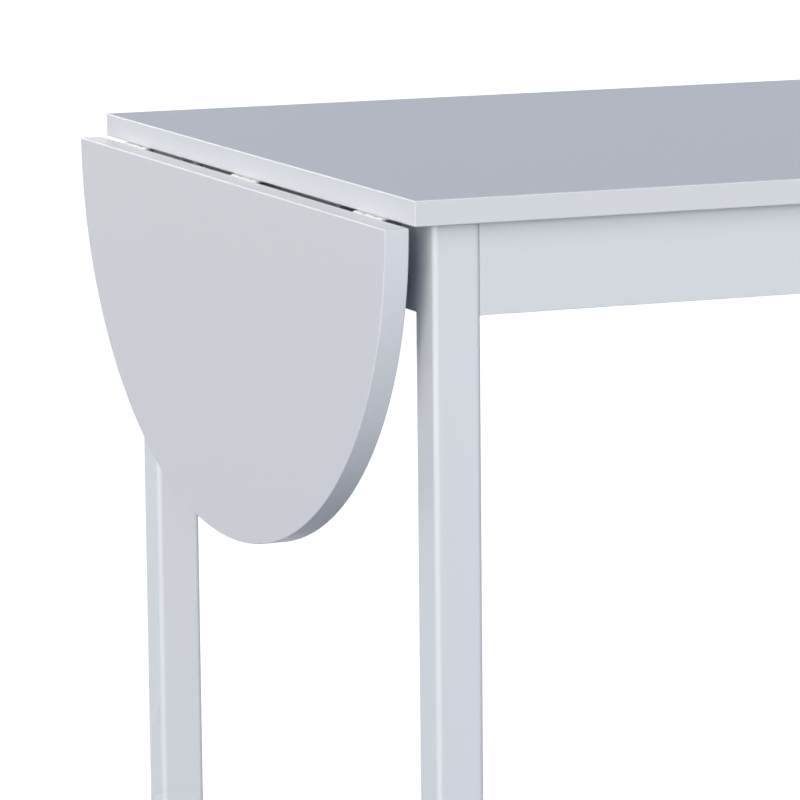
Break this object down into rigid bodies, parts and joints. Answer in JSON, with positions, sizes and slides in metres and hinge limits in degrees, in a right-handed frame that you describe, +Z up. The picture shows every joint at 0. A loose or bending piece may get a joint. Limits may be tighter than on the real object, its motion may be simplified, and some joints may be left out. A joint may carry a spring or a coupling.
{
  "type": "extending dining table",
  "caption": "Square-legged dining table with a thin top, plain aprons and a half-round drop leaf that hangs at one end and is held level by slotted stays.",
  "frame": {"origin": "on the floor, under the centre of the table's outer box with the leaf hanging", "axes": "+X along the table away from the leaf, +Y from the front to the back, +Z up"},
  "size_m": [0.8048, 0.74, 0.75],
  "materials": {
    "white_paint": "satin cool white paint over smooth board and square timber",
    "hinge_steel": "bright nickel-plated steel",
    "zinc_steel": "blue-grey zinc plating, slightly cloudy",
    "beech": "bare turned beech",
    "glide_plastic": "matt off-white moulded plastic"
  },
  "bodies": {
    "frame": {"fixed_top": "white_paint", "front_apron": "white_paint", "back_apron": "white_paint", "left_apron": "white_paint", "right_apron": "white_paint", "apron_dowels": "beech", "leg_front_left": "white_paint", "corner_bracket_front_left": "zinc_steel", "foot_glide_front_left": "glide_plastic", "leg_front_right": "white_paint", "corner_bracket_front_right": "zinc_steel", "foot_glide_front_right": "glide_plastic", "leg_back_left": "white_paint", "corner_bracket_back_left": "zinc_steel", "foot_glide_back_left": "glide_plastic", "leg_back_right": "white_paint", "corner_bracket_back_right": "zinc_steel", "foot_glide_back_right": "glide_plastic", "corner_bracket_screws": "zinc_steel", "leg_bolts": "zinc_steel", "leg_washers": "zinc_steel", "leg_nuts": "zinc_steel", "top_angles": "zinc_steel", "top_angle_screws": "zinc_steel", "stay_bracket_screws": "zinc_steel", "hinge_top_flap_front": "hinge_steel", "hinge_pin_front": "hinge_steel", "hinge_top_flap_middle": "hinge_steel", "hinge_pin_middle": "hinge_steel", "hinge_top_flap_back": "hinge_steel", "hinge_pin_back": "hinge_steel", "hinge_top_screws": "hinge_steel", "stay_bracket_front": "zinc_steel", "stay_stud_front": "hinge_steel", "stay_bracket_back": "zinc_steel", "stay_stud_back": "hinge_steel"},
    "leaf": {"drop_leaf": "white_paint", "hinge_leaf_screws": "hinge_steel", "stay_lug_screws": "zinc_steel", "hinge_leaf_flap_front": "hinge_steel", "hinge_leaf_flap_middle": "hinge_steel", "hinge_leaf_flap_back": "hinge_steel", "stay_lug_front": "zinc_steel", "stay_lug_back": "zinc_steel", "stay_rivet_front": "hinge_steel", "stay_rivet_back": "hinge_steel"},
    "stay_front": {"stay_arm_front": "zinc_steel"},
    "stay_back": {"stay_arm_back": "zinc_steel"}
  },
  "joints": [
    {"name": "leaf_hinge", "type": "hinge", "parent": "frame", "child": "leaf", "pos_m": [-0.38015, 0, 0.7278], "axis": [0, 1, 0], "range_deg": [0, 90]},
    {"name": "stay_front_pivot", "type": "hinge", "parent": "leaf", "child": "stay_front", "pos_m": [-0.37285, 0, 0.64131], "axis": [0, 1, 0], "range_deg": [-45, 0]},
    {"name": "stay_back_pivot", "type": "hinge", "parent": "leaf", "child": "stay_back", "pos_m": [-0.37285, 0, 0.64131], "axis": [0, 1, 0], "range_deg": [-45, 0]}
  ],
  "couplings": [
    {"joint": "stay_front_pivot", "follows": "leaf_hinge", "ratio": -0.5},
    {"joint": "stay_back_pivot", "follows": "leaf_hinge", "ratio": -0.5}
  ]
}
